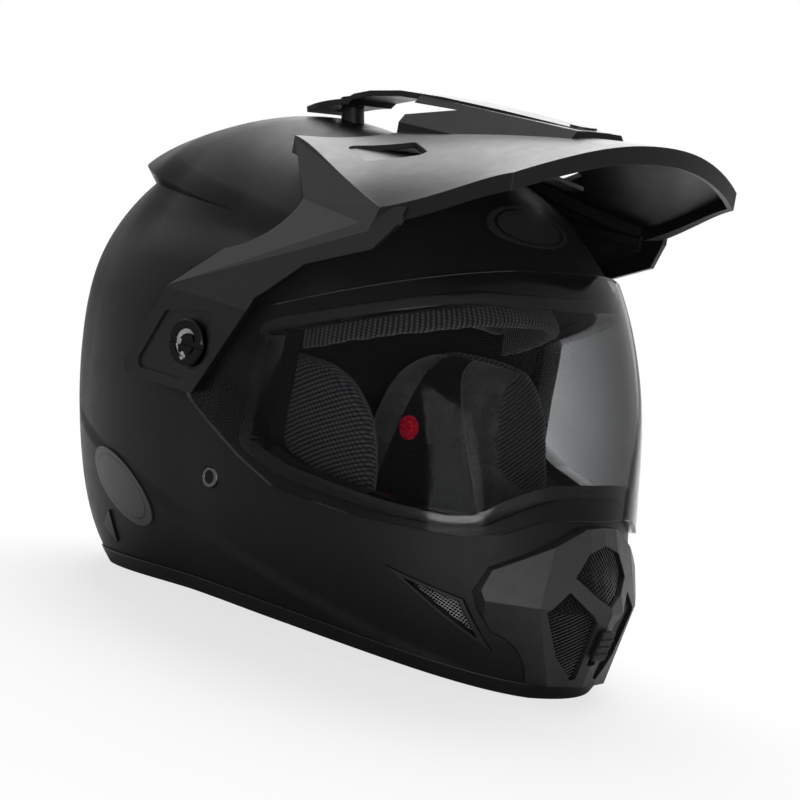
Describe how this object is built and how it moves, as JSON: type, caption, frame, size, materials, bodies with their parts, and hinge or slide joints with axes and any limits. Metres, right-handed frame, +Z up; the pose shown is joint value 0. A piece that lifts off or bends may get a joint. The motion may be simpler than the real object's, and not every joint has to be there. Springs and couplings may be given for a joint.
{
  "type": "dual sport motorcycle helmet",
  "caption": "Full-face off-road and road helmet: round shell with raised crown, long tilting peak, clear face shield that turns up, vented chin guard, padded liner and strap.",
  "frame": {"origin": "on the ground the helmet stands on, under the middle of its bounding box", "axes": "+Z up, the face looks towards -Y, +X is the wearer's left"},
  "size_m": [0.2546, 0.352, 0.2785],
  "materials": {
    "matte_black": "matte black paint with a soft sheen",
    "satin_black": "satin black moulding",
    "black_rubber": "soft rubber",
    "foam": "expanded foam, painted dark",
    "liner_fabric": "brushed liner cloth",
    "mesh_black": "moulded grille",
    "smoke_clear": "lightly smoked polycarbonate",
    "dark_metal": "dark plated steel",
    "steel": "plain steel",
    "webbing": "woven strap",
    "badge": "bare charcoal badge plate",
    "red_snap": "red snap stud"
  },
  "bodies": {
    "helmet": {"shell": "matte_black", "base_trim": "black_rubber", "eyeport_gasket": "black_rubber", "eps_liner": "foam", "eps_chin": "foam", "crown_pad": "liner_fabric", "brow_pad": "liner_fabric", "neck_roll": "liner_fabric", "chin_vent_housing": "satin_black", "chin_vent_mesh": "mesh_black", "forehead_badge": "badge", "peak_screw": "dark_metal", "peak_screw_spacer": "satin_black", "strap_snap": "red_snap", "strap_right": "webbing", "strap_left": "webbing", "cheek_pad_right": "liner_fabric", "cheek_pad_left": "liner_fabric", "side_vent_bezel_right": "satin_black", "side_vent_bezel_left": "satin_black", "side_vent_mesh_right": "mesh_black", "side_vent_mesh_left": "mesh_black", "rear_vent_right": "satin_black", "rear_vent_left": "satin_black", "side_badge_right": "badge", "side_badge_left": "badge", "shield_pivot_right": "satin_black", "shield_pivot_left": "satin_black", "strap_rivet_right": "dark_metal", "strap_rivet_left": "dark_metal", "strap_anchor_right": "steel", "strap_anchor_left": "steel"},
    "shield": {"shield": "smoke_clear"},
    "peak": {"peak": "matte_black", "peak_badge": "badge"},
    "knob_right": {"knob_right": "dark_metal"},
    "knob_left": {"knob_left": "dark_metal"},
    "vent_slider": {"chin_vent_slider": "satin_black"},
    "d_rings": {"d_ring_inner": "steel", "d_ring_outer": "steel"}
  },
  "joints": [
    {"name": "shield_hinge", "type": "hinge", "parent": "helmet", "child": "shield", "pos_m": [0, 0.02112, 0.13904], "axis": [-1, 0, 0], "range_deg": [0, 18]},
    {"name": "peak_tilt", "type": "hinge", "parent": "helmet", "child": "peak", "pos_m": [0, 0.02112, 0.13904], "axis": [1, 0, 0], "range_deg": [0, 4]},
    {"name": "knob_right_turn", "type": "hinge", "parent": "helmet", "child": "knob_right", "pos_m": [-0.12, 0.02112, 0.13904], "axis": [-1, 0, 0], "continuous": true},
    {"name": "knob_left_turn", "type": "hinge", "parent": "helmet", "child": "knob_left", "pos_m": [0.12, 0.02112, 0.13904], "axis": [1, 0, 0], "continuous": true},
    {"name": "vent_slide", "type": "slide", "parent": "helmet", "child": "vent_slider", "axis": [0, 0.2668, -0.9638], "range_m": [0, 0.008]},
    {"name": "ring_swing", "type": "hinge", "parent": "helmet", "child": "d_rings", "pos_m": [-0.02839, 0.00282, 0.04555], "axis": [0, 1, 0], "range_deg": [-12, 12]}
  ]
}
